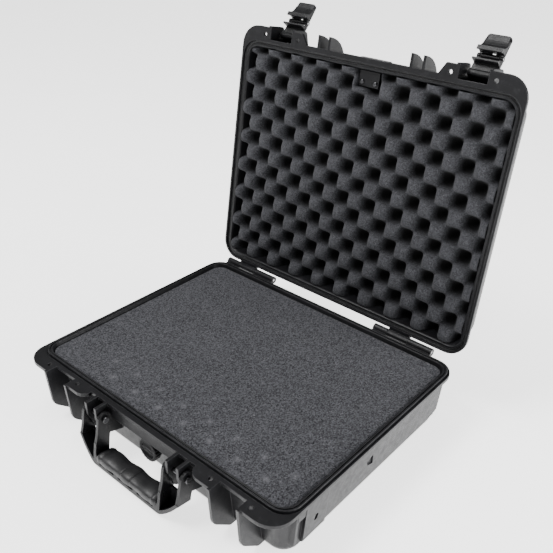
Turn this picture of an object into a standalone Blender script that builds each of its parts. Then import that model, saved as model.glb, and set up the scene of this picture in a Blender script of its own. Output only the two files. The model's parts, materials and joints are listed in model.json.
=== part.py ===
"""Hard equipment case, open, built from separate named parts.

World frame: metres, +Z up, origin at the centre of the base's underside, the carrying handle on the
-Y side and the hinges on the +Y side. Every outline below is in millimetres, with z = 0 on the
parting plane between base and lid. Lid parts are drawn with the lid shut and turned open on the
hinge axis by their parent empty.
"""

import math

import bmesh
import bpy

MM = 0.001

# Driving dimensions, millimetres and degrees
HALF_X = 230.0  # half the width of the sealing line
HALF_Y = 179.2  # half its depth
CORNER_R = 24.0  # corner radius of the sealing line
CORNER_STEPS = 7
CORNER_GROWTH = 0.11  # how the corner radius grows with distance from the parting plane
FRONT_DRAFT = 0.03  # extra draft on the front wall of the base
BASE_DEPTH = 85.0
LID_DEPTH = 55.0
FLANGE = 5.0  # thickness of each flange
SEAM_GAP = 0.4  # between the two flanges when shut
FLANGE_X = 235.2  # outer edge of the flange at the sides
FLANGE_BACK = 184.2
EAR_Y = 203.8  # how far the front ears and tabs reach
EAR_R = 30.0

HINGE_Y = 193.0
BARREL_R = 5.8
HINGE_PIN_R = 2.0
LID_OPEN = 98.4

LATCH_X = 159.2
LATCH_HALF = 18.4
LATCH_OPEN = 121.0
PIVOT_Y = -194.0  # latch pivot, on the lid
PIVOT_Z = 25.0
PIVOT_PIN_R = 2.2
LEVER_S = 25.8  # lever pin, measured down the shut arm from the latch pivot
LEVER_N = -1.2  # and outwards from it
LEVER_PIN_R = 1.5
LATCH_LENGTH = 57.0
LATCH_OUT = -2.9  # outer face of the latch, and the inner face of arm and paddle
LATCH_IN = 0.5
LUG_X = 14.1  # the arm's lugs start here, outside the lever's barrel
BARREL_X = 13.2
GROOVE = (-186.4, -180.6)  # under the base's flange, where the hook's lip seats

HANDLE_Y = -200.0
HANDLE_Z = -18.0
HANDLE_TILT = 9.0
HANDLE_PIN_R = 3.0

VALVE_X = 5.0
VALVE_Z = -40.0

BORE_GAP = 0.4  # radial, between a pin and a faceted bore


# ---------------------------------------------------------------- scene and materials

def clear_scene():
    for obj in list(bpy.data.objects):
        bpy.data.objects.remove(obj, do_unlink=True)


def material(name, colour, roughness, metallic=0.0):
    made = bpy.data.materials.new(name)
    made.use_nodes = True
    shader = made.node_tree.nodes["Principled BSDF"]
    shader.inputs["Base Color"].default_value = (*colour, 1.0)
    shader.inputs["Roughness"].default_value = roughness
    shader.inputs["Metallic"].default_value = metallic
    made.diffuse_color = (*colour, 1.0)
    return made


# ---------------------------------------------------------------- solids: (points, faces)

def loft(rings):
    """One closed body through rings with equal point counts, capped at both ends."""
    count = len(rings[0])
    points = [p for ring in rings for p in ring]
    faces = []
    for row in range(len(rings) - 1):
        for i in range(count):
            j = (i + 1) % count
            a = row * count
            faces.append((a + i, a + j, a + count + j, a + count + i))
    faces.append(tuple(reversed(range(count))))
    last = (len(rings) - 1) * count
    faces.append(tuple(range(last, last + count)))
    return points, faces


def closed_loop(rings):
    """A ring-shaped body: the last ring joins the first, with no caps."""
    points, faces = loft(rings)
    count = len(rings[0])
    faces = faces[:-2]
    last = (len(rings) - 1) * count
    for i in range(count):
        j = (i + 1) % count
        faces.append((last + i, last + j, j, i))
    return points, faces


def place(a, b, along, axis):
    return {"x": (along, a, b), "y": (a, along, b), "z": (a, b, along)}[axis]


def prism(outline, axis, low, high):
    """An outline in the two other axes, extruded along axis from low to high."""
    return loft([[place(a, b, along, axis) for a, b in outline] for along in (low, high)])


def box(x0, x1, y0, y1, z0, z1):
    return prism([(x0, y0), (x1, y0), (x1, y1), (x0, y1)], "z", z0, z1)


def arc(centre, radius, start, end, steps):
    """Points on an arc, angles in degrees from the first axis."""
    turns = [math.radians(start + (end - start) * i / steps) for i in range(steps + 1)]
    return [(centre[0] + radius * math.cos(t), centre[1] + radius * math.sin(t)) for t in turns]


def circle(centre, radius, steps=16):
    return arc(centre, radius, 0.0, 360.0, steps)[:-1]


def turned(profile, centre, steps=24):
    """A body turned about an axis along Y. The profile is (radius, y), with both ends capped."""
    return loft([[(x, y, z) for x, z in circle(centre, r, steps)] for r, y in profile])


def mirrored(solid):
    points, faces = solid
    return [(-x, y, z) for x, y, z in points], [tuple(reversed(f)) for f in faces]


def both(*solids):
    """Each solid and its mirror image on the other side of the case."""
    return [s for solid in solids for s in (solid, mirrored(solid))]


def mesh_object(name, solids, surface=None):
    points, faces = [], []
    for some, more in solids:
        start = len(points)
        points += [tuple(c * MM for c in p) for p in some]
        faces += [tuple(start + i for i in face) for face in more]
    mesh = bpy.data.meshes.new(name)
    mesh.from_pydata(points, [], faces)
    shell = bmesh.new()
    shell.from_mesh(mesh)
    bmesh.ops.recalc_face_normals(shell, faces=shell.faces)
    shell.to_mesh(mesh)
    shell.free()
    obj = bpy.data.objects.new(name, mesh)
    if surface:
        mesh.materials.append(surface)
    bpy.context.scene.collection.objects.link(obj)
    return obj


def combine(target, solids, operation):
    """Joins solids to the target, or cuts them out of it. The solids don't overlap each other."""
    tool = mesh_object("tool", solids)
    change = target.modifiers.new("combine", "BOOLEAN")
    change.operation = operation
    change.solver = "EXACT"
    change.object = tool
    graph = bpy.context.evaluated_depsgraph_get()
    mesh = bpy.data.meshes.new_from_object(target.evaluated_get(graph))
    target.modifiers.clear()
    target.data = mesh
    bpy.data.objects.remove(tool)


def add(target, solids):
    combine(target, solids, "UNION")


def cut(target, solids):
    combine(target, solids, "DIFFERENCE")


def hold(obj, parent, offset=(0.0, 0.0, 0.0)):
    """Puts a finished part, drawn about the parent's own drawing origin, under that parent."""
    obj.parent = parent
    obj.location = tuple(c * MM for c in offset)
    obj.data.shade_smooth()
    obj.data.set_sharp_from_angle(angle=math.radians(32.0))


def empty(name, place_mm, turn_x=0.0, parent=None):
    obj = bpy.data.objects.new(name, None)
    bpy.context.scene.collection.objects.link(obj)
    obj.location = tuple(c * MM for c in place_mm)
    obj.rotation_euler = (math.radians(turn_x), 0.0, 0.0)
    obj.parent = parent
    return obj


# ---------------------------------------------------------------- outlines shared by base and lid

def set_back(z):
    """How far the base's front wall stands back at height z, beyond its draft."""
    return FRONT_DRAFT * max(0.0, -z - 3.0)


def ring(offset, z):
    """The sealing line's rounded rectangle, grown by offset, at height z."""
    points = []
    radius = CORNER_R + CORNER_GROWTH * max(0.0, abs(z) - 3.0)
    x, back = HALF_X - radius, HALF_Y - radius
    front = set_back(z) - back
    for centre, start in (((x, back), 0), ((-x, back), 90), ((-x, front), 180), ((x, front), 270)):
        points += arc(centre, radius + offset, start, start + 90, CORNER_STEPS)
    return [(px, py, z) for px, py in points]


def between(z, low, high):
    """Linear value at z between two (z, value) pairs."""
    share = (z - low[0]) / (high[0] - low[0])
    return low[1] + share * (high[1] - low[1])


def base_outer(z):
    return between(z, (-5.0, -3.2), (-74.0, -8.9))


def base_inner(z):
    return between(z, (-3.0, -6.6), (-76.0, -13.0))


def lid_outer(z):
    return between(z, (5.0, -3.2), (48.0, -9.4))


def lid_inner(z):
    return between(z, (5.0, -6.8), (47.0, -12.8))


def inside_front_wall(z):
    """A y in the middle of the front wall's thickness, where ribs root."""
    if z < 0:
        return set_back(z) - (HALF_Y + (base_outer(z) + base_inner(z)) / 2)
    return -(HALF_Y + (lid_outer(z) + lid_inner(z)) / 2)


def inside_side_wall(z):
    return HALF_X + (base_outer(z) + base_inner(z)) / 2


def flange_outline(tab, bay_y):
    """Plan of the flange: ears with big round corners, a tab beside each latch bay, straight back."""
    corner = (FLANGE_X - EAR_R, -(EAR_Y - EAR_R))
    back = (FLANGE_X - EAR_R, FLANGE_BACK - EAR_R)
    half = list(tab)
    half += [(136.5, -EAR_Y), (136.5, bay_y), (182.5, bay_y), (182.5, -EAR_Y)]
    half += arc(corner, EAR_R, -90, 0, 8)
    half += arc(back, EAR_R, 0, 90, 8)
    return half + [(-x, y) for x, y in reversed(half)]


def ear_holes(low, high):
    return both(*[prism(circle((x, -193.0), 3.1, 14), "z", low, high) for x in (127.0, 191.0)])


def knuckles(spans, z0, z1):
    """Hinge barrels on the hinge axis, each with a web to the flange."""
    barrels = [prism(circle((HINGE_Y, 0.0), BARREL_R), "x", a, b) for a, b in spans]
    webs = [box(a, b, FLANGE_BACK - 0.4, HINGE_Y - 1.0, z0, z1) for a, b in spans]
    return barrels, webs


# ---------------------------------------------------------------- base

BASE_PROFILE = [
    (-21.0, -85.0), (-16.5, -84.3), (-12.8, -82.2), (-10.3, -78.6), (-8.9, -74.0), (-3.2, -5.0),
    (4.4, -5.0), (4.4, 0.0), (3.4, 0.0), (3.4, -1.8), (2.0, -1.8),
    (1.5, 2.4), (1.0, 3.0), (-0.5, 3.0), (-1.0, 2.4), (-1.3, 0.6),
    (-2.5, 0.6), (-2.8, 2.2), (-3.3, 2.6), (-4.6, 2.6), (-5.2, 2.0),
    (-6.6, -3.0), (-13.0, -76.0), (-15.0, -80.0), (-18.0, -81.0),
]
BASE_TAB = [(100.0, -190.0), (100.0, -195.0), (107.0, -202.0), (113.0, -EAR_Y)]
BASE_KNUCKLES = [(-219.0, -194.3), (-156.7, -115.0), (89.0, 112.7), (149.3, 189.0)]
LID_KNUCKLES = [(-193.7, -157.3), (113.3, 148.7)]
PIN_SPANS = [(-218.6, -115.4), (89.4, 188.6)]


def base_latch_rib():
    return [
        (-206.6, 0.0), (-202.5, -53.0), (-200.8, -58.8), (-197.6, -63.0), (-174.5, -83.2),
        (-171.0, -84.2), (-162.0, -84.2), (-162.0, -81.6),
        (inside_front_wall(-74.0), -74.0), (inside_front_wall(-3.5), -3.5),
        (-185.0, -3.5), (-185.0, 0.0),
    ]


def bracket_rib():
    return [
        (-208.5, 0.0), (-208.4, -19.0), (-203.2, -31.0), (-200.6, -42.0), (-197.0, -45.5),
        (-188.0, -50.0), (inside_front_wall(-56.0), -56.0),
        (inside_front_wall(-3.5), -3.5), (-185.0, -3.5), (-185.0, 0.0),
    ]


def side_panel(y0, y1, proud, z_low, deeper=0.0):
    """A raised panel on the side wall, following its draft. Near a corner its foot roots deeper."""
    top = HALF_X + base_outer(-5.0) + proud
    low = HALF_X + base_outer(z_low) + proud
    outline = [
        (inside_side_wall(-4.0), -4.0), (top, -4.0), (low, z_low + 2.0),
        (low - 2.0, z_low), (inside_side_wall(z_low) - deeper, z_low),
    ]
    return prism(outline, "y", y0, y1)


def side_slot():
    """A slanted slot through the raised side panel, for a strap or lanyard."""
    ends = arc((-121.6, -42.8), 3.0, -20, 160, 6) + arc((-122.8, -47.0), 3.0, 160, 340, 6)
    x0 = HALF_X + base_outer(-48.0) + 0.8
    return prism(ends, "x", x0, HALF_X + 4.0)


def finger_pocket():
    """A small slanted pocket half way along the side wall."""
    ends = [(-16.5, -43.5), (-4.5, -48.0), (-7.0, -31.0), (-20.5, -35.0)]
    return prism(ends, "x", HALF_X + base_outer(-40.0) - 0.2, HALF_X + 4.0)


def base_shell(surface):
    shell = mesh_object("base_shell", [loft([ring(o, z) for o, z in BASE_PROFILE])], surface)
    plate = mesh_object("plate", [prism(flange_outline(BASE_TAB, -188.5), "z", -FLANGE, 0.0)])
    cut(plate, [loft([ring(4.0, -FLANGE - 1.0), ring(4.0, 1.0)])])
    add_object(shell, plate)
    latch_ribs = [prism(base_latch_rib(), "x", a, b) for a, b in ((134.4, 138.6), (180.0, 184.4))]
    brackets = [prism(bracket_rib(), "x", a, b) for a, b in ((66.4, 70.6), (85.4, 89.6))]
    add(shell, both(*latch_ribs, *brackets))
    apron = [(-188.2, -4.0), (-188.2, -23.0), (inside_front_wall(-23.0), -23.0),
             (inside_front_wall(-4.0), -4.0)]
    add(shell, [prism(apron, "x", -68.0, 68.0)])
    add(shell, both(side_panel(-143.5, -102.0, 4.4, -72.0)))
    add(shell, both(side_panel(-157.5, -141.0, 3.9, -28.0)))
    add(shell, both(side_panel(-160.0, -156.0, 3.5, -66.0, 3.6)))
    add(shell, both(side_panel(-101.0, 152.0, 2.4, -70.0)))
    add(shell, both(side_panel(151.0, 157.0, 2.4, -68.0, 1.2)))
    add(shell, both(side_panel(156.0, 160.0, 2.4, -66.0, 3.6)))
    boss = turned([(15.0, -170.0), (14.0, -175.4)], (VALVE_X, VALVE_Z))
    add(shell, [boss])
    barrels, webs = knuckles(BASE_KNUCKLES, -FLANGE, -SEAM_GAP)
    add(shell, webs)
    add(shell, barrels)
    add(shell, base_back_ribs())
    cut(shell, ear_holes(-FLANGE - 2.0, 2.0))
    bores = [prism(circle((HANDLE_Y, HANDLE_Z), HANDLE_PIN_R + BORE_GAP), "x", 60.0, 95.0)]
    cut(shell, both(*bores))
    hinge_bores = [prism(circle((HINGE_Y, 0.0), HINGE_PIN_R + BORE_GAP), "x", a - 1.0, b + 1.0)
                   for a, b in PIN_SPANS]
    cut(shell, hinge_bores)
    cut(shell, [turned([(6.1, -160.0), (6.1, -180.0)], (VALVE_X, VALVE_Z))])
    cut(shell, both(side_slot(), finger_pocket()))
    groove = box(LATCH_X - 19.4, LATCH_X + 19.4, *GROOVE, -FLANGE - 1.0, -2.4)
    cut(shell, both(groove))
    cut(shell, underside_channels())
    return shell


def add_object(target, other):
    """Joins another object's mesh to the target and removes that object."""
    mesh = other.data
    points = [tuple(c / MM for c in v.co) for v in mesh.vertices]
    faces = [tuple(p.vertices) for p in mesh.polygons]
    bpy.data.objects.remove(other)
    add(target, [(points, faces)])


def base_back_ribs():
    """Upright ribs on the back wall, between and beside the hinges."""
    ribs = []
    for x in (-84.0, -28.0, 28.0):
        outline = [
            (-inside_front_wall(-4.0), -4.0), (HALF_Y + 1.0, -4.0),
            (HALF_Y + base_outer(-66.0) + 3.0, -66.0), (-inside_front_wall(-70.0), -70.0),
        ]
        ribs.append(prism(outline, "x", x - 2.0, x + 2.0))
    return ribs


def underside_channels():
    """Two shallow channels along the underside, leaving a flat foot round them."""
    return [box(-170.0, 170.0, y - 9.0, y + 9.0, -BASE_DEPTH - 1.0, -BASE_DEPTH + 1.2)
            for y in (-85.0, 85.0)]


def base_foam(name, low, high, surface):
    """A foam layer that follows the inner walls with a small gap."""
    rings = [ring(base_inner(z) - 0.5, z) for z in (low, high)]
    return mesh_object(name, [loft(rings)], surface)


def floor_pad(surface):
    """The thin pad on the floor, rounded to clear the fillet round it."""
    profile = [(-18.8, -80.6), (-16.2, -79.8), (-13.8, -75.8), (base_inner(-72.4) - 0.5, -72.4)]
    return mesh_object("foam_floor_pad", [loft([ring(o, z) for o, z in profile])], surface)


# ---------------------------------------------------------------- purge valve

def valve_parts(plastic, rubber, film):
    centre = (VALVE_X, VALVE_Z)
    body = mesh_object("valve_body", [turned([(5.7, -184.0), (5.7, -162.6)], centre)], plastic)
    cut(body, [turned([(1.4, -190.0), (1.4, -160.0)], centre, 12)])
    cut(body, [turned([(3.6, -168.0), (3.6, -160.0)], centre, 16)])
    seal = [turned([(r, y) for r, y in ((11.6, -177.4), (12.0, -176.9), (12.0, -176.1),
                                        (11.6, -175.7))], centre)]
    seal = mesh_object("valve_seal", seal, rubber)
    cut(seal, [turned([(9.6, -179.0), (9.6, -174.0)], centre)])
    hexagon = prism([(VALVE_X + 9.4 * math.cos(math.radians(60 * i)),
                      VALVE_Z + 9.4 * math.sin(math.radians(60 * i))) for i in range(6)],
                    "y", -166.8, -163.0)
    nut = mesh_object("valve_nut", [hexagon], plastic)
    cut(nut, [turned([(6.1, -170.0), (6.1, -160.0)], centre)])
    membrane = mesh_object("valve_membrane", [turned([(3.2, -167.6), (3.2, -166.8)], centre, 16)],
                           film)
    return [body, seal, nut, membrane]


def valve_knob(surface):
    """Round knob with gripping flutes, drawn about its own axis at x = z = 0."""
    def fluted(radius, y):
        points = []
        for i in range(60):
            r = radius if i % 3 else radius - 0.9
            turn = 2 * math.pi * i / 60
            points.append((r * math.cos(turn), y, r * math.sin(turn)))
        return points
    rings = [fluted(15.9, -186.5), fluted(16.5, -185.8), fluted(16.5, -178.6), fluted(16.0, -178.0)]
    knob = mesh_object("valve_knob", [loft(rings)], surface)
    dish = turned([(12.2, -188.0), (11.6, -185.2)], (0.0, 0.0))
    cut(knob, [dish])
    bar = loft([[(x, y, z) for x, z in ((-11.9, -w), (11.9, -w), (11.9, w), (-11.9, w))]
                for y, w in ((-185.0, 3.0), (-186.4, 2.2))])
    add(knob, [bar])
    cut(knob, [turned([(6.1, -184.4), (6.1, -170.0)], (0.0, 0.0))])
    return knob


# ---------------------------------------------------------------- lid

LID_PROFILE = [
    (-16.0, 55.0), (-12.8, 54.2), (-10.4, 52.2), (-9.4, 48.0), (-3.8, 9.2), (2.8, 8.6),
    (3.1, 8.2), (3.1, 5.0), (4.4, 5.0), (4.4, SEAM_GAP), (2.3, SEAM_GAP), (2.1, 6.4),
    (-1.9, 6.4), (-2.1, 3.2), (-5.0, 3.2), (-5.9, 4.0), (-6.8, 5.6), (-12.8, 47.0),
    (-14.8, 50.2), (-17.8, 51.2),
]
LID_TAB = [(110.0, -188.5), (119.5, -EAR_Y)]
GASKET_PROFILE = [
    (-1.5, 6.1), (-1.6, 3.7), (-1.1, 3.4), (-0.6, 4.8), (0.9, 4.8), (1.4, 3.4), (1.8, 3.7),
    (1.8, 6.1),
]


# Where the lid's ribs and fins root: over the seal channel, then down to the flange
LID_ROOT = [(-176.0, 7.6), (-181.8, 7.6), (-185.0, 3.5), (-185.0, SEAM_GAP)]


def lid_rib():
    return [
        (-206.0, SEAM_GAP), (-205.0, 27.0), (-203.4, 30.4), (-200.4, 32.0), (-186.0, 37.0),
        (inside_front_wall(43.0), 43.0), (inside_front_wall(10.0), 10.0),
    ] + LID_ROOT


def lid_fin():
    return [
        (-206.8, SEAM_GAP), (-205.3, 9.0), (-202.4, 17.6), (-197.4, 25.6), (-191.2, 31.8),
        (-184.0, 36.7), (inside_front_wall(42.0), 42.0), (inside_front_wall(10.0), 10.0),
    ] + LID_ROOT


def lid_top_ribs():
    """Long low ribs along the lid's outside."""
    return [box(-150.0, 150.0, y - 8.0, y + 8.0, LID_DEPTH - 1.5, LID_DEPTH + 2.0)
            for y in (-84.0, -28.0, 28.0, 84.0)]


def lid_shell(surface):
    shell = mesh_object("lid_shell", [loft([ring(o, z) for o, z in LID_PROFILE])], surface)
    plate = mesh_object("plate", [prism(flange_outline(LID_TAB, -186.2), "z", SEAM_GAP, FLANGE)])
    cut(plate, [loft([ring(4.0, -1.0), ring(4.0, FLANGE + 1.0)])])
    add_object(shell, plate)
    fins = [prism(lid_fin(), "x", a, b) for a, b in ((66.4, 70.6), (85.4, 89.6))]
    ribs = [prism(lid_rib(), "x", a, b) for a, b in ((134.4, 138.6), (180.0, 184.4))]
    add(shell, both(*ribs, *fins))
    brow = [(-186.6, 4.0), (-186.6, 21.0), (-184.6, 23.0), (inside_front_wall(24.0), 24.0),
            (inside_front_wall(10.0), 10.0), (-176.0, 7.6), (-181.8, 7.6), (-184.7, 4.0)]
    add(shell, [prism(brow, "x", -24.0, 32.0)])
    barrels, webs = knuckles(LID_KNUCKLES, SEAM_GAP, FLANGE)
    add(shell, webs)
    add(shell, barrels)
    add(shell, lid_top_ribs())
    add(shell, [box(-14.0, 14.0, inside_front_wall(20.0), -150.0, 15.0, 24.0)])
    cut(shell, ear_holes(-2.0, FLANGE + 2.0))
    pivot = circle((PIVOT_Y, PIVOT_Z), PIVOT_PIN_R + BORE_GAP)
    cut(shell, both(prism(pivot, "x", 130.0, 190.0)))
    bores = [prism(circle((HINGE_Y, 0.0), HINGE_PIN_R + BORE_GAP), "x", a - 1.0, b + 1.0)
             for a, b in LID_KNUCKLES]
    cut(shell, bores)
    screws = [prism(circle((x, -154.5), 1.9, 10), "z", 10.0, 22.0) for x in (-11.0, 11.0)]
    cut(shell, screws)
    return shell


def lid_gasket(surface):
    rings = [ring(o, z) for o, z in GASKET_PROFILE]
    return mesh_object("lid_gasket", [closed_loop(rings)], surface)


def lid_foam(surface):
    rings = [ring(-8.0, 1.0), ring(lid_inner(6.0) - 1.2, 6.0), ring(lid_inner(46.0) - 0.6, 46.0),
             ring(lid_inner(47.0) - 2.6, 49.8)]
    foam = mesh_object("lid_foam", [loft(rings)], surface)
    cut(foam, [box(-18.0, 18.0, -185.0, -148.0, -2.0, 25.5)])
    return foam


def boss_plate(surface):
    plate = mesh_object("lid_boss_plate", [box(-16.5, 16.5, -170.4, -149.0, 12.4, 14.7)], surface)
    holes = [prism(circle((x, -154.5), 2.0, 10), "z", 8.0, 18.0) for x in (-11.0, 11.0)]
    cut(plate, holes)
    return plate


def boss_screw(name, x, surface):
    """Pan-head screw that fixes the boss plate."""
    spots = ((2.2, 10.2), (3.2, 10.9), (3.2, 12.1), (1.55, 12.1), (1.55, 21.0))
    rings = [[(a, b, z) for a, b in circle((x, -154.5), r, 12)] for r, z in spots]
    return mesh_object(name, [loft(rings)], surface)


def name_plate(surface):
    """A blank plate on the lid's front."""
    y0, y1 = -188.1, -186.9
    outline = [(-20.0, 8.0), (28.0, 8.0), (28.0, 19.0), (-20.0, 19.0)]
    inset = [(-19.2, 8.8), (27.2, 8.8), (27.2, 18.2), (-19.2, 18.2)]
    rings = [[(x, y1, z) for x, z in outline], [(x, y0 + 0.4, z) for x, z in outline],
             [(x, y0, z) for x, z in inset]]
    return mesh_object("name_plate", [loft(rings)], surface)


# ---------------------------------------------------------------- handle, drawn hanging from its axis

CHEEKS = ((60.5, 65.0), (91.0, 95.5))
GRIP_HALF = 58.0
GRIP_SWELLS = 3
HANDLE_BACK = 8.8  # how far the end blocks reach towards the case


def cheek(low, high):
    outline = arc((0.0, 0.0), 10.5, 0, 180, 10) + [(-10.8, -20.0), (-12.6, -35.0),
                                                   (8.2, -35.0), (10.0, -20.0)]
    return prism(outline, "x", low, high)


def handle_frame(surface):
    corner = [(95.5, -32.6), (95.5, -34.6), (86.0, -46.6), (77.0, -55.6), (71.0, -60.6),
              (66.0, -63.8), (62.0, -65.0)]
    inner = [(60.5, -32.6), (60.5, -49.0), (58.5, -52.2)]
    outline = corner + [(-x, z) for x, z in reversed(corner)]
    outline += [(-x, z) for x, z in inner] + list(reversed(inner))
    frame = mesh_object("handle_frame", [prism(outline, "y", -13.0, 13.0)], surface)
    add(frame, both(*[cheek(a, b) for a, b in CHEEKS]))
    cut(frame, both(box(60.0, 99.0, HANDLE_BACK, 15.0, -70.0, -25.0)))
    pocket = [(65.0, -30.0), (91.0, -30.0), (91.0, -33.6), (82.5, -43.8), (74.5, -51.6),
              (69.0, -56.0), (65.0, -58.4)]
    cut(frame, both(prism(pocket, "y", -15.0, HANDLE_BACK - 3.0)))
    cut(frame, both(prism(circle((0.0, 0.0), HANDLE_PIN_R + BORE_GAP), "x", 55.0, 100.0)))
    slots = [box(x - 15.0, x + 15.0, -14.0, -11.0, -60.4, -57.6) for x in (-38.0, 0.0, 38.0)]
    cut(frame, slots)
    return frame


def handle_grip(surface):
    """Rubber grip with finger swells, seated on the frame's bar."""
    rings = []
    steps = 30
    for i in range(steps + 1):
        x = GRIP_HALF * (2 * i / steps - 1)
        swell = 0.5 - 0.5 * math.cos(2 * math.pi * GRIP_SWELLS * i / steps)
        end = min(1.0, min(i, steps - i) / 2.0)
        top = -46.6 + 0.6 * end + 1.2 * swell * end
        half = 11.8 + 0.8 * end + 0.5 * swell * end
        ring_points = [(half - 1.0, -51.9), (half, -50.2), (half - 0.2, top - 2.6),
                       (half - 2.4, top - 0.8), (half - 7.0, top)]
        ring_points += [(-n, z) for n, z in reversed(ring_points)]
        rings.append([(x, n, z) for n, z in ring_points])
    return mesh_object("handle_grip", [loft(rings)], surface)


def handle_pin(surface, name, side):
    """Headed pin through both cheeks and both bracket ribs."""
    spots = ((4.2, 57.4), (4.8, 58.0), (4.8, 60.1), (3.0, 60.1), (3.0, 95.9), (4.8, 95.9),
             (4.8, 97.6), (4.2, 98.2))
    rings = [[(side * x, HANDLE_Y + a, HANDLE_Z + b) for a, b in circle((0, 0), r)]
             for r, x in spots]
    return mesh_object(name, [loft(rings)], surface)


# ---------------------------------------------------------------- latch, drawn shut about its pivot

def latch_arm(name, surface):
    """Hangs from the latch pivot; two lugs at its lower end carry the lever."""
    half = LATCH_HALF
    end = -LEVER_S
    plate = [(-half, 0.0), (-half, end), (-LUG_X, end), (-LUG_X, -21.2), (LUG_X, -21.2),
             (LUG_X, end), (half, end), (half, 0.0)]
    arm = mesh_object(name, [prism(plate, "y", LATCH_OUT, LATCH_IN)], surface)
    add(arm, [prism(circle((0.0, 0.0), 5.2), "x", -half, half)])
    ridge = [(-1.0, -14.6), (11.4, -14.6), (11.4, -16.9), (8.0, -18.4), (-1.0, -18.4)]
    add(arm, [prism(ridge, "x", 0.3 - half, half - 0.3)])
    lug = prism(circle((LEVER_N, end), 3.2), "x", LUG_X + 0.2, half - 0.2)
    add(arm, both(lug))
    cut(arm, [prism(circle((0.0, 0.0), PIVOT_PIN_R + BORE_GAP), "x", -25.0, 25.0)])
    cut(arm, [prism(circle((LEVER_N, end), LEVER_PIN_R + BORE_GAP), "x", -25.0, 25.0)])
    return arm


def latch_lever(name, surface):
    """The paddle and the hook that grips under the base's flange, drawn about the lever pin."""
    half = LATCH_HALF - 0.6
    out, inner = LATCH_OUT - LEVER_N, LATCH_IN - LEVER_N
    end = LEVER_S - LATCH_LENGTH
    section = [(-half, out), (half, out), (half, inner - 2.0), (half - 3.0, inner),
               (3.0 - half, inner), (-half, inner - 2.0)]
    lever = mesh_object(name, [prism(section, "z", end, -4.0)], surface)
    add(lever, [box(-BARREL_X, BARREL_X, out + 0.2, inner - 0.2, -6.0, 0.0)])
    add(lever, [prism(circle((0.0, 0.0), 3.2), "x", 0.2 - BARREL_X, BARREL_X - 0.2)])
    hook = [(-0.6, -4.8), (10.4, -4.8), (10.8, -2.6), (13.4, -2.6), (13.4, -8.0), (10.0, -9.4),
            (6.4, -11.8), (3.8, -15.2), (2.4, -19.4), (1.3, -24.0), (-0.6, -24.0)]
    add(lever, [prism(hook, "x", 0.3 - half, half - 0.3)])
    corner = [(half + 0.8, end + 6.0), (half - 1.4, end + 1.6), (half - 6.0, end - 0.8),
              (half + 3.0, end - 3.0)]
    cut(lever, both(prism(corner, "y", -6.0, 6.0)))
    cut(lever, [box(0.5, 6.0, -4.0, 2.6, -5.9, -3.5)])
    cut(lever, [prism(circle((0.0, 0.0), LEVER_PIN_R + BORE_GAP), "x", -25.0, 25.0)])
    return lever


def pin(name, radius, low, high, centre, surface):
    solid = prism(circle(centre, radius, 14), "x", low, high)
    return mesh_object(name, [solid], surface)


# ---------------------------------------------------------------- assembly

def build_base(looks):
    base = empty("base", (0.0, 0.0, BASE_DEPTH))
    parts = [base_shell(looks["shell"])]
    parts.append(floor_pad(looks["foam"]))
    block = base_foam("foam_block_lower", -72.1, -28.2, looks["foam"])
    cut(block, [turned([(11.5, -180.0), (11.5, -159.8)], (VALVE_X, VALVE_Z))])
    parts.append(block)
    parts.append(base_foam("foam_block_upper", -27.9, -1.6, looks["foam"]))
    parts.append(handle_pin(looks["steel"], "handle_pin_left", -1))
    parts.append(handle_pin(looks["steel"], "handle_pin_right", 1))
    for name, span in zip(("hinge_pin_left", "hinge_pin_right"), PIN_SPANS):
        parts.append(pin(name, HINGE_PIN_R, *span, (HINGE_Y, 0.0), looks["steel"]))
    parts += valve_parts(looks["fittings"], looks["rubber"], looks["film"])
    for part in parts:
        hold(part, base)
    knob_axis = empty("valve_axis", (VALVE_X, 0.0, VALVE_Z), parent=base)
    hold(valve_knob(looks["fittings"]), knob_axis)
    swing = empty("handle_axis", (0.0, HANDLE_Y, HANDLE_Z), -HANDLE_TILT, base)
    hold(handle_frame(looks["fittings"]), swing)
    hold(handle_grip(looks["rubber"]), swing)


def build_lid(looks):
    hinge = empty("hinge_axis", (0.0, HINGE_Y, BASE_DEPTH), -LID_OPEN)
    parts = [lid_shell(looks["shell"]), lid_gasket(looks["rubber"]), lid_foam(looks["foam"]),
             boss_plate(looks["fittings"]), boss_screw("boss_screw_left", -11.0, looks["steel"]),
             boss_screw("boss_screw_right", 11.0, looks["steel"]), name_plate(looks["fittings"])]
    for name, side in (("latch_pivot_left", -1), ("latch_pivot_right", 1)):
        ends = sorted((side * 134.8, side * 184.0))
        parts.append(pin(name, PIVOT_PIN_R, *ends, (PIVOT_Y, PIVOT_Z), looks["steel"]))
    for part in parts:
        hold(part, hinge, (0.0, -HINGE_Y, 0.0))
    for word, side in (("left", -1), ("right", 1)):
        build_latch(word, side, hinge, looks)


def build_latch(word, side, hinge, looks):
    pivot = empty("latch_axis_" + word, (side * LATCH_X, PIVOT_Y - HINGE_Y, PIVOT_Z),
                  -LATCH_OPEN, hinge)
    hold(latch_arm("latch_arm_" + word, looks["fittings"]), pivot)
    ends = (0.4 - LATCH_HALF, LATCH_HALF - 0.4)
    lever_pin = pin("lever_pin_" + word, LEVER_PIN_R, *ends, (LEVER_N, -LEVER_S), looks["steel"])
    hold(lever_pin, pivot)
    lever_axis = empty("lever_axis_" + word, (0.0, LEVER_N, -LEVER_S), parent=pivot)
    hold(latch_lever("latch_lever_" + word, looks["fittings"]), lever_axis)


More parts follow.
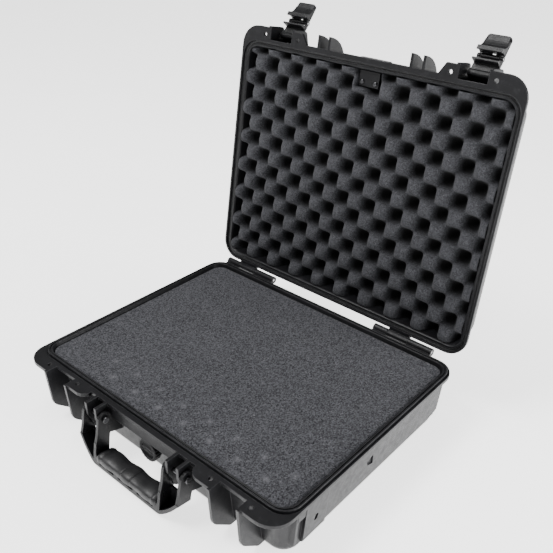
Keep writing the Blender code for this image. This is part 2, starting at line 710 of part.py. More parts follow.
def main():
    clear_scene()
    looks = {
        "shell": material("shell_black", (0.022, 0.022, 0.024), 0.55),
        "fittings": material("fittings_black", (0.018, 0.018, 0.02), 0.42),
        "rubber": material("rubber_black", (0.014, 0.014, 0.014), 0.7),
        "foam": material("foam_grey", (0.055, 0.055, 0.06), 0.95),
        "steel": material("pin_steel", (0.45, 0.45, 0.46), 0.35, 1.0),
        "film": material("vent_film", (0.7, 0.7, 0.68), 0.6),
    }
    build_base(looks)
    build_lid(looks)


main()
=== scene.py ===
"""Looks of the open hard equipment case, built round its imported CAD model.

Metres, +Z up, in the CAD model's frame: origin at the centre of the base's underside, the handle on
the -Y side. Lid pieces are drawn with the lid shut, about the parting plane, and then opened on the
hinge; handle pieces are drawn with the handle hanging straight down. Plan shapes are in the same
millimetres as the CAD.
"""

import json
import math

import bmesh
import bpy
import numpy as np
from mathutils import Matrix, Vector

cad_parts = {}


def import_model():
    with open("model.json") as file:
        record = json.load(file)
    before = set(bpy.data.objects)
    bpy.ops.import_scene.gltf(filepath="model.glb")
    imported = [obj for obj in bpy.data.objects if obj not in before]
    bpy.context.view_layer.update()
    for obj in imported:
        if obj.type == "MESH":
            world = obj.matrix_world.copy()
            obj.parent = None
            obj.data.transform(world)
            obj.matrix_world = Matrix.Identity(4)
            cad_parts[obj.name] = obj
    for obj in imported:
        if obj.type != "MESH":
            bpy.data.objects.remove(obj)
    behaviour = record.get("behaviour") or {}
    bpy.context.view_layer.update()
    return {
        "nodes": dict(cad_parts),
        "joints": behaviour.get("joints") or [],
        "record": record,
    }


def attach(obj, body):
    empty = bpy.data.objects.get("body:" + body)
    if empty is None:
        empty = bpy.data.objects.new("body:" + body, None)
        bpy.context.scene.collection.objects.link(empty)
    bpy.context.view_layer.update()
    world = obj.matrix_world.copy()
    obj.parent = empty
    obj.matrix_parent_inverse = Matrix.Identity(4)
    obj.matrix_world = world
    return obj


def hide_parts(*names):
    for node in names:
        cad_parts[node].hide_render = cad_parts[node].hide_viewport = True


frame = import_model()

JOINTS = {joint["name"]: joint for joint in frame["joints"]}
MM = 0.001

# Plan of the case, millimetres, as in the CAD
HALF_X = 230.0  # half the width of the sealing line
HALF_Y = 179.2
CORNER_R = 24.0  # corner radius of the sealing line
CORNER_GROWTH = 0.11  # how the corner radius grows with distance from the parting plane
FRONT_DRAFT = 0.03  # extra draft on the front wall of the base
DRAFT_START = 3.0  # where drafts start, on both sides of the parting plane

RIM_Z = JOINTS["lid_hinge"]["pos_m"][2] / MM  # height of the parting plane
LID_ANGLE = math.radians(JOINTS["lid_hinge"]["range_deg"][0])
HANDLE_ANGLE = math.radians(JOINTS["handle_swing"]["range_deg"][0])

# Inner walls: offset inwards from the sealing line, how far they lean in over what height, and the
# foam's clearance
LID_WALL_IN = 6.8
LID_WALL_FROM = 5.0  # height where the lid's wall starts to lean
LID_LEAN = 6.0
LID_RISE = 42.0
LID_FOAM_GAP = 1.1
BASE_WALL_IN = 6.6
BASE_LEAN = 6.4
BASE_RISE = 73.0
BASE_FOAM_GAP = 0.5

# Egg-crate foam in the lid
EGG_X = 46.75  # spacing of its peaks along a row
EGG_Y = 48.25  # spacing of every second row
EGG_X0 = 10.25  # where one of the peaks stands
EGG_Y0 = 19.2
EGG_TOP = 1.6  # from the parting plane to the peaks
EGG_DEPTH = 31.0  # from the peaks to the hollows
EGG_SHARP = 1.75  # above 1, the hollows are narrower than the peaks
EGG_ROUND = 0.85  # below 1, peaks and hollows are flatter than a cosine's
EGG_DRIFT = (110.0, 2.2)  # wavelength and size of the peaks' drift off their grid
EGG_ROUGH = (60.0, 0.8)  # wavelength and size of the face's unevenness
EGG_COUNTS = (220, 172)
EGG_SKIRTS = (0.25, 0.6, 1.0)  # shares of the way from the face to the back
UPRIGHT_TO = 6.0  # the foam's side is upright up to this height
FOAM_BACK = 49.6
NOTCH_HALF = 19.0  # the notch round the boss plate
NOTCH_Y = -147.0
NOTCH_Z = 26.5
NOTCH_SOFT = 1.5  # half the width of the notch's sloping side

# Web across the back of each latch bay: (y, z) section and x span
WEB_SECTION = ((-188.4, 31.6), (-188.4, 33.4), (-187.6, 34.4), (-180.0, 37.2), (-169.6, 38.4),
               (-169.6, 34.4), (-180.0, 32.6), (-187.6, 31.0))
WEB_SPAN = (138.4, 180.2)

# Foam layers in the base: top and bottom, then grid counts
TOP_LAYER = (-1.7, -27.8)
TOP_COUNTS = (200, 156)
MIDDLE_LAYER = (-28.4, -72.0)
MIDDLE_COUNTS = (110, 86)
LAYER_SOFT = 2.4  # roundness of a layer's edge
LAYER_ROUGH = (70.0, 0.35)  # wavelength and size of a face's unevenness
EDGE_SHARE = 0.35  # how far round the edge its middle ring stands
EDGE_SET = 0.4  # how much lower than the edge the side starts
SMALLEST_CORNER = 2.0
PAD_TOP = -72.4
PAD_FOOT = ((-13.8, -75.8), (-16.2, -79.8), (-18.8, -80.6))  # offset and height, round the fillet
PAD_COUNTS = (60, 46)

# Where the purge valve's nut stands against the base's foam
VALVE_X = 5.0
VALVE_Z = -40.0
VALVE_CLEAR = 13.0  # radius kept clear
VALVE_BACK = -159.8

# Marks on the base foam: row's y, first x, how many, strength
MARK_ROWS = ((-149.0, -107.0, 7, 1.0), (-124.2, -132.0, 8, 0.75))
MARK_R = 4.2
MARK_REACH = 9.0  # beyond this distance there is nothing left of a mark
MARK_DEPTH = 0.5

# Grip, in the handle's drawing frame
GRIP_HALF = 58.0
GRIP_STEPS = 150
GRIP_SWELLS = 3
SWELL_RISE = 1.9
GRIP_BAND = 9.0  # from the grip's middle to each groove
GROOVE_WIDTH = 0.7
GROOVE_DEPTH = 0.7
COLLAR_IN = 5.0  # from the grip's end to its collar
COLLAR_WIDTH = 3.0
COLLAR_RISE = 1.3
GRIP_TUCK = 2.2  # length of the tucked-in end
TUCK_DEPTH = 1.6
GRIP_ARC = 22  # steps round the hood
GRIP_SQUARE = 0.75  # below 1, the hood is squarer than a half circle
GRIP_OUT = 14.4
GRIP_IN = 13.4
GRIP_MID = -53.0
GRIP_RISE = 7.0
GRIP_LOW = -56.0
SIDE_SHARE = 0.8  # how much of a swell goes sideways
LOW_SHARE = 0.3  # how much of a swell goes down
OUT_LIP = 0.5  # how far the lower edges turn in
IN_LIP = 0.3
BAR_HALF = 13.15
BAR_TOP = -52.0

# Seeds of the uneven faces
EGG_X_SEED = 21
EGG_Y_SEED = 22
EGG_FACE_SEED = 5
LAYER_SEED = 11
RIPPLE_WAVES = 5

# Looks. Textures are laid out in metres, so a larger scale is a finer texture
BEVEL_SAMPLES = 6
EDGE_FLAT = 0.995  # agreement of rounded and flat normals where no edge is seen
EDGE_TURNED = 0.86  # and where the edge is seen in full
SCUFF_SHARE = 0.2  # how far a scuff goes towards the colour of wear and painted edge highlights
ROUGH_SPREAD = 0.07  # how far the plastic's roughness wanders
EDGE_POLISH = -0.08  # change of roughness on rubbed edges
GRAIN_DEPTH = 0.00022
FOAM_GRAIN = 680.0  # scale of the cells that give the foam its light and dark grains
FOAM_CELLS = 850.0  # scale of the cells in its relief
FOAM_CONTRAST = 0.88
FOAM_BLOTCH = 0.12  # share of the tone that comes from coarser noise
FOAM_RELIEF = 0.0007
FOAM_ROUGHNESS = 0.95
RUB_SHARE = 0.36  # how far a mark goes towards the specks' colour
# Painted shade on the lid's egg-crate foam: its colour darkens with depth in the hollows, and fully on
# its sides and back
HOLLOW_SHADE_SPAN = (0.22, 0.6)  # the depths where the painted shade starts and is full
HOLLOW_SHADE_SHARE = 0.97
PAINTED_HOLLOW_SHADE = (0.0005, 0.0005, 0.0006)  # painted shade: foam deep in the hollows, where light hardly comes back

# Stage
CAMERA_AT = (0.5667, -0.5991, 0.6964)
CAMERA_TO = (0.0318, 0.0272, 0.2206)
CAMERA_ROLL = 1.21
CAMERA_LENS = 46.83
SENSOR_WIDTH = 36.0
CLIP_END = 60.0
FLOOR_HALF = 14.0
FLOOR_Z = -0.0006
FLOOR_GLOW = 2.1
WORLD_STRENGTH = 0.3
# Name, place, target, width, height, watts
LIGHTS = (
    ("key", (-0.9, -1.05, 2.4), (0.0, 0.0, 0.2), 1.0, 1.0, 66.0),
    ("top", (-0.5, 0.05, 2.3), (-0.1, 0.0, 0.1), 0.8, 0.8, 16.0),
    ("side", (1.7, 0.5, 0.35), (0.2, 0.0, 0.1), 1.2, 1.6, 62.0),
)


# ---------------------------------------------------------------- frames

def hinge_frame(joint_name, angle):
    """From the drawing position, in millimetres about the rim plane, to the open row frame."""
    axis_at = Vector(JOINTS[joint_name]["pos_m"])
    axis_at.x = 0.0
    turn = Matrix.Rotation(angle, 4, "X")
    drawn_at = Matrix.Translation(-axis_at) @ Matrix.Translation((0.0, 0.0, RIM_Z * MM))
    return Matrix.Translation(axis_at) @ turn @ drawn_at @ Matrix.Scale(MM, 4)


BASE_FRAME = Matrix.Translation((0.0, 0.0, RIM_Z * MM)) @ Matrix.Scale(MM, 4)
LID_FRAME = hinge_frame("lid_hinge", LID_ANGLE)
HANDLE_FRAME = (Matrix.Translation(JOINTS["handle_swing"]["pos_m"])
                @ Matrix.Rotation(HANDLE_ANGLE, 4, "X") @ Matrix.Scale(MM, 4))


# ---------------------------------------------------------------- node materials

class Nodes:
    """Short calls to lay out one material's node tree."""

    def __init__(self, name):
        self.material = bpy.data.materials.new(name)
        self.material.use_nodes = True
        self.tree = self.material.node_tree
        self.shader = self.tree.nodes["Principled BSDF"]
        self.place = self.new("ShaderNodeTexCoord").outputs["Object"]

    def new(self, kind, **settings):
        node = self.tree.nodes.new(kind)
        for key, value in settings.items():
            setattr(node, key, value)
        return node

    def put(self, value, socket):
        """Links the value if it comes from a node, or else sets it."""
        if isinstance(value, bpy.types.NodeSocket):
            self.tree.links.new(value, socket)
        else:
            socket.default_value = value

    def noise(self, scale, detail=3.0, roughness=0.5):
        node = self.new("ShaderNodeTexNoise")
        self.put(self.place, node.inputs["Vector"])
        for key, value in (("Scale", scale), ("Detail", detail), ("Roughness", roughness)):
            node.inputs[key].default_value = value
        return node.outputs["Fac"]

    def cells(self, scale, output="Distance"):
        node = self.new("ShaderNodeTexVoronoi")
        self.put(self.place, node.inputs["Vector"])
        node.inputs["Scale"].default_value = scale
        return node.outputs[output]

    def stored(self, name):
        """A number that the piece's mesh stores at each vertex."""
        return self.new("ShaderNodeAttribute", attribute_name=name).outputs["Fac"]

    def span(self, value, low, high, to_low=0.0, to_high=1.0):
        node = self.new("ShaderNodeMapRange", clamp=True)
        for key, given in (("Value", value), ("From Min", low), ("From Max", high),
                           ("To Min", to_low), ("To Max", to_high)):
            self.put(given, node.inputs[key])
        return node.outputs["Result"]

    def math(self, operation, a, b):
        node = self.new("ShaderNodeMath", operation=operation)
        self.put(a, node.inputs[0])
        self.put(b, node.inputs[1])
        return node.outputs["Value"]

    def mix(self, share, a, b):
        """Colour between a and b, each a node's output or three numbers."""
        node = self.new("ShaderNodeMix", data_type="RGBA")
        self.put(share, node.inputs["Factor"])
        for value, socket in ((a, node.inputs[6]), (b, node.inputs[7])):
            self.put(value if isinstance(value, bpy.types.NodeSocket) else (*value, 1.0), socket)
        return node.outputs[2]

    def soft_edge(self, radius):
        """The normal with edges rounded by that radius, and a mask that is 1 on those edges."""
        bevel = self.new("ShaderNodeBevel", samples=BEVEL_SAMPLES)
        bevel.inputs["Radius"].default_value = radius
        flat = self.new("ShaderNodeNewGeometry").outputs["Normal"]
        dot = self.new("ShaderNodeVectorMath", operation="DOT_PRODUCT")
        self.put(bevel.outputs["Normal"], dot.inputs[0])
        self.put(flat, dot.inputs[1])
        return bevel.outputs["Normal"], self.span(dot.outputs["Value"], EDGE_FLAT, EDGE_TURNED)

    def bump(self, height, strength, distance, normal=None):
        node = self.new("ShaderNodeBump")
        for key, value in (("Height", height), ("Strength", strength), ("Distance", distance)):
            self.put(value, node.inputs[key])
        if normal is not None:
            self.put(normal, node.inputs["Normal"])
        return node.outputs["Normal"]

    def finish(self, colour, roughness, normal, **constants):
        self.put(colour, self.shader.inputs["Base Color"])
        self.put(roughness, self.shader.inputs["Roughness"])
        self.put(normal, self.shader.inputs["Normal"])
        for key, value in constants.items():
            self.shader.inputs[key.replace("_", " ")].default_value = value
        return self.material


def moulded_plastic(name, dark, light, worn_and_highlight, grain, rough, edge):
    """Black moulded plastic: fine spark-eroded grain, slow tone changes, edges lightened partly as
    rubbed wear and partly as a painted highlight.
    """
    n = Nodes(name)
    rounded, edges = n.soft_edge(edge)
    slow = n.span(n.noise(9.0, 4.0, 0.6), 0.35, 0.68)
    scuffs = n.span(n.noise(70.0, 6.0, 0.72), 0.56, 0.72)
    colour = n.mix(slow, dark, light)
    colour = n.mix(n.math("MULTIPLY", scuffs, SCUFF_SHARE), colour, worn_and_highlight)
    # Painted highlight along the edges, partly rubbed wear too: they lighten towards the colour that
    # serves for wear and painted highlight
    rubbed = n.math("MULTIPLY", edges, n.span(n.noise(45.0, 3.0), 0.38, 0.66, 0.25, 0.9))
    colour = n.mix(rubbed, colour, worn_and_highlight)
    wander = n.span(n.noise(130.0, 5.0), 0.3, 0.7, rough - ROUGH_SPREAD, rough + ROUGH_SPREAD)
    roughness = n.math("ADD", wander, n.math("MULTIPLY", edges, EDGE_POLISH))
    pits = n.math("ADD", n.noise(grain, 2.0, 0.6), n.math("MULTIPLY", n.cells(grain * 0.7), 0.6))
    normal = n.bump(pits, 0.5, GRAIN_DEPTH, rounded)
    return n.finish(colour, roughness, normal, Specular_IOR_Level=0.2)


def soft_rubber(name):
    """Black rubber with a little dust, lighter along its edges."""
    n = Nodes(name)
    rounded, edges = n.soft_edge(0.0008)
    dust = n.span(n.noise(38.0, 6.0, 0.7), 0.5, 0.78)
    colour = n.mix(n.math("MULTIPLY", dust, 0.5), (0.010, 0.010, 0.011), (0.035, 0.035, 0.036))
    colour = n.mix(n.math("MULTIPLY", edges, 0.35), colour, (0.05, 0.05, 0.052))
    roughness = n.span(n.noise(160.0, 4.0), 0.3, 0.7, 0.42, 0.56)
    return n.finish(colour, roughness, n.bump(n.noise(1500.0, 3.0), 0.35, 0.0002, rounded))


def open_cell_foam(name, dark, light, speck, strength, speckled):
    """Charcoal polyurethane foam: tiny open cells, light specks, slow tone changes.

    The mesh may store "rubbed" (lighter marks) and "hollow" (depths, darkened as painted shade)."""
    n = Nodes(name)
    cells = n.cells(FOAM_CELLS)
    slow = n.span(n.noise(16.0, 4.0, 0.6), 0.35, 0.7)
    shade = n.new("ShaderNodeSeparateColor")
    n.put(n.cells(FOAM_GRAIN, "Color"), shade.inputs["Color"])
    blotches = n.span(n.noise(300.0, 3.0, 0.7), 0.36, 0.66, 0.0, FOAM_BLOTCH)
    grain = n.math("ADD", n.math("MULTIPLY", shade.outputs["Green"], FOAM_CONTRAST), blotches)
    colour = n.mix(grain, dark, light)
    colour = n.mix(n.math("MULTIPLY", slow, 0.14), colour, light)
    specks = n.span(shade.outputs["Red"], 0.84, 1.0, 0.0, speckled)
    colour = n.mix(specks, colour, speck)
    colour = n.mix(n.math("MULTIPLY", n.stored("rubbed"), RUB_SHARE), colour, speck)
    # Painted shade: the colour darkens towards a near-black with the stored depth
    painted_shade = n.span(n.stored("hollow"), *HOLLOW_SHADE_SPAN, 0.0, HOLLOW_SHADE_SHARE)
    colour = n.mix(painted_shade, colour, PAINTED_HOLLOW_SHADE)
    height = n.math("ADD", n.math("MULTIPLY", cells, 0.8), n.noise(380.0, 5.0, 0.8))
    return n.finish(colour, FOAM_ROUGHNESS, n.bump(height, strength, FOAM_RELIEF),
                    Sheen_Weight=0.04, Sheen_Roughness=0.6, Specular_IOR_Level=0.12)


def plain_steel(name, bright, dull):
    """Drawn steel with fine lines and bright edges."""
    n = Nodes(name)
    rounded, edges = n.soft_edge(0.0005)
    lines = n.noise(900.0, 3.0)
    colour = n.mix(n.span(n.noise(60.0, 4.0), 0.35, 0.7), bright, dull)
    colour = n.mix(n.math("MULTIPLY", edges, 0.4), colour, (0.66, 0.66, 0.67))
    return n.finish(colour, n.span(lines, 0.3, 0.7, 0.22, 0.4), n.bump(lines, 0.2, 0.0001, rounded),
                    Metallic=1.0)


def vent_film(name):
    """The valve's pale, fibrous membrane."""
    n = Nodes(name)
    fibres = n.noise(2200.0, 4.0, 0.8)
    colour = n.mix(n.span(fibres, 0.3, 0.7), (0.55, 0.55, 0.53), (0.78, 0.78, 0.76))
    return n.finish(colour, 0.7, n.bump(fibres, 0.4, 0.0001))


# ---------------------------------------------------------------- meshes

def mesh_piece(name, points, faces, to_row, surface, smooth=180.0):
    """A piece from drawing points, put in the row frame, with its faces pointing out."""
    mesh = bpy.data.meshes.new(name)
    mesh.from_pydata([tuple(to_row @ Vector(p)) for p in points], [], faces)
    shell = bmesh.new()
    shell.from_mesh(mesh)
    bmesh.ops.recalc_face_normals(shell, faces=shell.faces)
    shell.to_mesh(mesh)
    shell.free()
    mesh.shade_smooth()
    mesh.set_sharp_from_angle(angle=math.radians(smooth))
    mesh.materials.append(surface)
    piece = bpy.data.objects.new(name, mesh)
    bpy.context.scene.collection.objects.link(piece)
    return piece


def corner_radius(z):
    """Corner radius of the sealing line's outline, carried to height z."""
    return CORNER_R + CORNER_GROWTH * max(0.0, abs(z) - DRAFT_START)


def rounded_grid(half_x, front, back, radius, count_x, count_y):
    """Grid points (row by row) filling a rounded rectangle, its edge rows on the outline."""
    grid = np.zeros((count_y + 1, count_x + 1, 2))
    xs = np.linspace(0.0, 2.0 * half_x, count_x + 1) - half_x
    ys = np.linspace(0.0, back - front, count_y + 1) + front
    for j, y in enumerate(ys):
        for i, x in enumerate(xs):
            grid[j, i] = inside_outline(x, y, half_x, front, back, radius)
    return grid


def inside_outline(x, y, half_x, front, back, radius):
    """Maps the box onto the rounded rectangle: near a corner, squares become circles."""
    middle = (front + back) / 2
    half_y = (back - front) / 2
    px = abs(x) - (half_x - radius)
    py = abs(y - middle) - (half_y - radius)
    if px <= 0.0 or py <= 0.0:
        return x, y
    reach = max(px, py)
    scale = reach / math.hypot(px, py)
    px, py = px * scale, py * scale
    return (math.copysign(half_x - radius + px, x),
            middle + math.copysign(half_y - radius + py, y - middle))


def border_loop(count_x, count_y):
    """Indices of a grid's edge points, in order round it."""
    width = count_x + 1
    loop = list(range(count_x))
    loop += [j * width + count_x for j in range(count_y)]
    loop += [count_y * width + i for i in range(count_x, 0, -1)]
    loop += [j * width for j in range(count_y, 0, -1)]
    return loop


def slab(name, top, skirts, to_row, surface, counts):
    """A closed slab: a grid for its face, then border loops down to a flat back."""
    count_x, count_y = counts
    width = count_x + 1
    points = [tuple(p) for p in top]
    faces = []
    for j in range(count_y):
        for i in range(count_x):
            a = j * width + i
            faces.append((a, a + 1, a + 1 + width, a + width))
    loop = border_loop(count_x, count_y)
    for skirt in skirts:
        start = len(points)
        points += [tuple(p) for p in skirt]
        fresh = list(range(start, start + len(loop)))
        for i in range(len(loop)):
            j = (i + 1) % len(loop)
            faces.append((loop[i], fresh[i], fresh[j], loop[j]))
        loop = fresh
    faces.append(tuple(loop))
    return mesh_piece(name, points, faces, to_row, surface)


def spread(piece, name, values):
    """Stores one number per vertex, for the piece's material to read."""
    made = piece.data.attributes.new(name, "FLOAT", "POINT")
    made.data.foreach_set("value", values)


def ripple(x, y, seed, size, height):
    """Smooth, repeatable unevenness from a few crossed waves."""
    chance = np.random.default_rng(seed)
    total = 0.0
    for _ in range(RIPPLE_WAVES):
        turn, phase = chance.uniform(0.0, 2 * math.pi, 2)
        wave = 2 * math.pi / (size * chance.uniform(0.6, 1.6))
        total = total + np.sin(wave * (x * math.cos(turn) + y * math.sin(turn)) + phase)
    return height * total / RIPPLE_WAVES


def dress(piece, body, nodes):
    """Attaches a finished piece to the body it rides on and hides the CAD nodes that it stands for."""
    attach(piece, body)
    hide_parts(*nodes)
    return piece


# ---------------------------------------------------------------- lid

def bay_webs(surface):
    """The web across the back of each latch bay, between the lid's two guard ribs."""
    for word, side in (("left", -1), ("right", 1)):
        points = [(side * x, y, z) for x in WEB_SPAN for y, z in WEB_SECTION]
        count = len(WEB_SECTION)
        faces = [tuple(range(count)), tuple(range(count, 2 * count))]
        faces += [(i, (i + 1) % count, count + (i + 1) % count, count + i) for i in range(count)]
        piece = mesh_piece("latch_bay_web_" + word, points, faces, LID_FRAME, surface, 30.0)
        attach(piece, "lid")


def lid_inner(z):
    """Offset of the lid foam's side from the sealing line."""
    return -LID_WALL_IN - (z - LID_WALL_FROM) * LID_LEAN / LID_RISE - LID_FOAM_GAP


def egg_hollow(x, y):
    """How far down the egg-crate face is, from 0 on a peak to 1 in a hollow."""
    x = x + ripple(x, y, EGG_X_SEED, *EGG_DRIFT)
    y = y + ripple(x, y, EGG_Y_SEED, *EGG_DRIFT)
    wave = math.cos(2 * math.pi * (x - EGG_X0) / EGG_X) * math.cos(2 * math.pi * (y - EGG_Y0) / EGG_Y)
    rounded = math.copysign(abs(wave) ** EGG_ROUND, wave)
    return (0.5 - 0.5 * rounded) ** EGG_SHARP


def egg_height(x, y):
    """How deep in the lid the egg-crate face is, measured from the parting plane."""
    depth = EGG_TOP + EGG_DEPTH * egg_hollow(x, y) + ripple(x, y, EGG_FACE_SEED, *EGG_ROUGH)
    inside = min(1.0, max(0.0, (NOTCH_HALF + NOTCH_SOFT - abs(x)) / (2 * NOTCH_SOFT)))
    inside *= min(1.0, max(0.0, (NOTCH_Y + NOTCH_SOFT - y) / (2 * NOTCH_SOFT)))
    return depth + (NOTCH_Z - depth) * inside if inside > 0.0 else depth


def lid_egg_crate(surface):
    """The lid's egg-crate foam, with how deep each vertex lies stored for its material, which paints
    shade into the depths.
    """
    offset = lid_inner(EGG_TOP)
    half_x, half_y = HALF_X + offset, HALF_Y + offset
    grid = rounded_grid(half_x, -half_y, half_y, CORNER_R + offset, *EGG_COUNTS).reshape(-1, 2)
    top = [(x, y, egg_height(x, y)) for x, y in grid]
    border = [top[i] for i in border_loop(*EGG_COUNTS)]
    skirts = []
    for share in EGG_SKIRTS:
        skirt = []
        for x, y, z in border:
            low = z + (FOAM_BACK - z) * share
            shrink = (lid_inner(low) - offset) if low > UPRIGHT_TO else 0.0
            skirt.append((x * (1 + shrink / half_x), y * (1 + shrink / half_y), low))
        skirts.append(skirt)
    piece = slab("lid_egg_crate_foam", top, skirts, LID_FRAME, surface, EGG_COUNTS)
    # Depth for the painted shade; the sides and back count as fully deep, so they get the full painted
    # shade
    hollow = [(z - EGG_TOP) / EGG_DEPTH for _, _, z in top]
    spread(piece, "hollow", hollow + [1.0] * (len(piece.data.vertices) - len(hollow)))
    dress(piece, "lid", ["lid_foam"])


# ---------------------------------------------------------------- base foam

def base_inner(z):
    """Offset of the base foam's side from the sealing line."""
    return -BASE_WALL_IN + (z + DRAFT_START) * BASE_LEAN / BASE_RISE - BASE_FOAM_GAP


def base_layer(name, node, heights, counts, surface):
    """One foam layer in the base: softly rounded edges, slightly uneven face. Returns its plan too."""
    high, low = heights
    uneven = LAYER_ROUGH[1]

    def outline(z, shrink=0.0):
        offset = base_inner(z) - shrink
        half_x, half_y = HALF_X + offset, HALF_Y + offset
        front = -half_y + FRONT_DRAFT * max(0.0, -z - DRAFT_START)
        radius = max(SMALLEST_CORNER, corner_radius(z) + offset)
        return rounded_grid(half_x, front, half_y, radius, *counts).reshape(-1, 2)

    plan = outline(high, LAYER_SOFT)
    top = [(x, y, high + ripple(x, y, LAYER_SEED, *LAYER_ROUGH) - uneven - MARK_DEPTH * mark_at(x, y))
           for x, y in plan]
    part_way = EDGE_SHARE * LAYER_SOFT
    rings = ((high - part_way - uneven, part_way), (high - LAYER_SOFT - EDGE_SET, 0.0),
             ((high + low) / 2, 0.0), (low + LAYER_SOFT, 0.0), (low, LAYER_SOFT))
    loop = border_loop(*counts)
    skirts = []
    for z, shrink in rings:
        ring = outline(z, shrink)
        skirts.append([clear_of_valve(*ring[i], z) for i in loop])
    piece = slab(name, top, skirts, BASE_FRAME, surface, counts)
    dress(piece, "base", [node])
    return piece, plan


def clear_of_valve(x, y, z):
    """Presses the front of the foam in where the purge valve's nut stands."""
    if y < VALVE_BACK and math.hypot(x - VALVE_X, z - VALVE_Z) < VALVE_CLEAR:
        return x, VALVE_BACK, z
    return x, y, z


def mark_at(x, y):
    """The faint round marks that the lid's foam peaks leave near the front of the base foam."""
    if not MARK_ROWS[0][0] - MARK_REACH < y < MARK_ROWS[1][0] + MARK_REACH:
        return 0.0
    total = 0.0
    for row_y, first_x, count, strength in MARK_ROWS:
        nearest = min(count - 1, max(0, round((x - first_x) / EGG_X)))
        away = math.hypot(x - first_x - nearest * EGG_X, y - row_y)
        total += strength * math.exp(-((away / MARK_R) ** 2))
    return total


def floor_pad(surface):
    """The thin pad under the blocks, its lower edge rounded off for the shell's fillet."""
    rings = []
    for offset, z in ((base_inner(PAD_TOP), PAD_TOP), *PAD_FOOT):
        half_x, half_y = HALF_X + offset, HALF_Y + offset
        front = -half_y + FRONT_DRAFT * (-z - DRAFT_START)
        rings.append((rounded_grid(half_x, front, half_y, corner_radius(z) + offset,
                                   *PAD_COUNTS).reshape(-1, 2), z))
    loop = border_loop(*PAD_COUNTS)
    top = [(x, y, PAD_TOP) for x, y in rings[0][0]]
    skirts = [[(*outline[i], z) for i in loop] for outline, z in rings[1:]]
    piece = slab("base_floor_pad", top, skirts, BASE_FRAME, surface, PAD_COUNTS)
    dress(piece, "base", ["foam_floor_pad"])


def base_foam(surface):
    """Both foam blocks and the pad, with the marks stored for the top block's material."""
    top, plan = base_layer("base_foam_top", "foam_block_upper", TOP_LAYER, TOP_COUNTS, surface)
    rubbed = [mark_at(x, y) for x, y in plan]
    spread(top, "rubbed", rubbed + [0.0] * (len(top.data.vertices) - len(rubbed)))
    base_layer("base_foam_middle", "foam_block_lower", MIDDLE_LAYER, MIDDLE_COUNTS, surface)
    floor_pad(surface)


# ---------------------------------------------------------------- handle grip

def handle_grip(surface):
    """Rubber grip wrapped over the frame's bar: three finger swells, a band between two grooves."""
    rings = []
    for i in range(GRIP_STEPS + 1):
        x = GRIP_HALF * (2 * i / GRIP_STEPS - 1)
        share = (x / GRIP_HALF + 1) / 2
        swell = 0.5 - 0.5 * math.cos(2 * math.pi * GRIP_SWELLS * share)
        tuck = max(0.0, 1.0 - (GRIP_HALF - abs(x)) / GRIP_TUCK) ** 2
        collar = math.exp(-(((GRIP_HALF - COLLAR_IN - abs(x)) / COLLAR_WIDTH) ** 2))
        groove = math.exp(-(((abs(x) - GRIP_BAND) / GROOVE_WIDTH) ** 2))
        bulk = (SWELL_RISE * swell + COLLAR_RISE * collar - GROOVE_DEPTH * groove
                - TUCK_DEPTH * tuck)
        rings.append([(x, n, z) for n, z in grip_section(bulk)])
    count = len(rings[0])
    points = [p for ring in rings for p in ring]
    faces = [tuple(range(count)), tuple(range(len(points) - count, len(points)))]
    for i in range(len(rings) - 1):
        for j in range(count):
            k = (j + 1) % count
            faces.append((i * count + j, i * count + k, (i + 1) * count + k, (i + 1) * count + j))
    piece = mesh_piece("handle_grip_rubber", points, faces, HANDLE_FRAME, surface, 40.0)
    dress(piece, "handle", ["handle_grip"])


def grip_section(bulk):
    """One cross-section: a rounded hood over the bar, open below where the bar shows."""
    outer = []
    for i in range(GRIP_ARC + 1):
        turn = math.pi * i / GRIP_ARC
        wide = (GRIP_OUT if turn < math.pi / 2 else GRIP_IN) + bulk * SIDE_SHARE
        bend = abs(math.cos(turn)) ** GRIP_SQUARE
        outer.append((-math.copysign(wide * bend, math.cos(turn)),
                      GRIP_MID + (GRIP_RISE + bulk) * math.sin(turn) ** GRIP_SQUARE))
    low = GRIP_LOW - LOW_SHARE * bulk
    outer = [(outer[0][0] + OUT_LIP, low)] + outer + [(outer[-1][0] - IN_LIP, low)]
    inner = [(BAR_HALF, low), (BAR_HALF, BAR_TOP), (-BAR_HALF, BAR_TOP), (-BAR_HALF, low)]
    return outer + inner


# ---------------------------------------------------------------- stage

def look_at(obj, target, roll=0.0):
    """Turns a camera or light to its target, then by roll degrees about its view axis."""
    direction = Vector(target) - obj.location
    turn = direction.to_track_quat("-Z", "Y").to_matrix().to_4x4()
    turn = turn @ Matrix.Rotation(math.radians(roll), 4, "Z")
    obj.rotation_euler = turn.to_euler()


def camera():
    data = bpy.data.cameras.new("camera")
    data.lens = CAMERA_LENS
    data.sensor_width = SENSOR_WIDTH
    data.clip_end = CLIP_END
    made = bpy.data.objects.new("camera", data)
    made.location = CAMERA_AT
    look_at(made, CAMERA_TO, CAMERA_ROLL)
    bpy.context.scene.collection.objects.link(made)
    bpy.context.scene.camera = made


def area_light(name, at, target, width, height, power):
    data = bpy.data.lights.new(name, "AREA")
    data.shape = "RECTANGLE"
    data.size = width
    data.size_y = height
    data.energy = power
    made = bpy.data.objects.new(name, data)
    made.location = at
    look_at(made, target)
    bpy.context.scene.collection.objects.link(made)


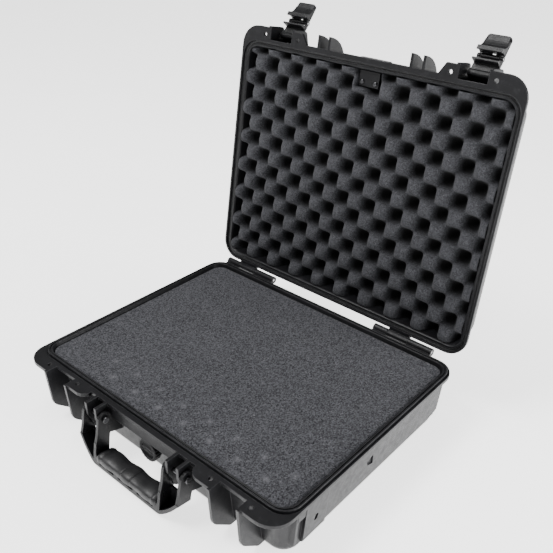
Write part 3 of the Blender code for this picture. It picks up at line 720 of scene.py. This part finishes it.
def floor():
    """A pale, faintly glowing sheet just under the case."""
    n = Nodes("pale_floor")
    tone = n.mix(n.span(n.noise(3.0, 3.0), 0.3, 0.7), (0.86, 0.86, 0.86), (0.9, 0.9, 0.9))
    surface = n.finish(tone, 0.8, n.bump(n.noise(400.0), 0.05, 0.0002),
                       Emission_Color=(1.0, 1.0, 1.0, 1.0), Emission_Strength=FLOOR_GLOW)
    corners = [(x * FLOOR_HALF, y * FLOOR_HALF, 0.0) for x, y in ((-1, -1), (1, -1), (1, 1), (-1, 1))]
    plane = mesh_piece("floor", corners, [(0, 1, 2, 3)], Matrix.Identity(4), surface)
    plane.location.z = FLOOR_Z


def world():
    made = bpy.data.worlds.new("studio")
    made.use_nodes = True
    back = made.node_tree.nodes["Background"]
    back.inputs["Color"].default_value = (1.0, 1.0, 1.0, 1.0)
    back.inputs["Strength"].default_value = WORLD_STRENGTH
    bpy.context.scene.world = made


def dress_nodes(looks):
    """Puts each CAD node's look on it, by its finish. The handle's pins and the boss plate's screws
    are blackened."""
    dark_steel = plain_steel("blackened_steel", (0.10, 0.10, 0.105), (0.05, 0.05, 0.053))
    for part in frame["record"]["subparts"]:
        node = frame["nodes"][part["node"]]
        node.data.materials.clear()
        blackened = part["node"].startswith(("handle_pin", "boss_screw"))
        node.data.materials.append(dark_steel if blackened else looks[part["material_slot"]])


def main():
    camera()
    world()
    floor()
    for light in LIGHTS:
        area_light(*light)
    looks = {
        "shell": moulded_plastic("shell_plastic", (0.007, 0.007, 0.0078), (0.012, 0.012, 0.0135),
                                 (0.075, 0.075, 0.08), grain=1500.0, rough=0.36, edge=0.0009),
        "fittings": moulded_plastic("fitting_plastic", (0.006, 0.006, 0.0068),
                                    (0.011, 0.011, 0.012), (0.07, 0.07, 0.075),
                                    grain=2200.0, rough=0.32, edge=0.0008),
        "rubber": soft_rubber("black_rubber"),
        "foam": open_cell_foam("charcoal_foam", (0.006, 0.0062, 0.0078), (0.084, 0.085, 0.094),
                               (0.2, 0.2, 0.215), strength=0.6, speckled=0.32),
        "steel": plain_steel("pin_steel_look", (0.50, 0.50, 0.51), (0.34, 0.34, 0.35)),
        "vent_film": vent_film("vent_film_look"),
    }
    dress_nodes(looks)
    lid_egg_crate(open_cell_foam("egg_crate_foam", (0.023, 0.0233, 0.0258),
                                 (0.062, 0.063, 0.070), (0.14, 0.14, 0.15),
                                 strength=0.5, speckled=0.3))
    bay_webs(looks["shell"])
    base_foam(looks["foam"])
    handle_grip(looks["rubber"])


main()
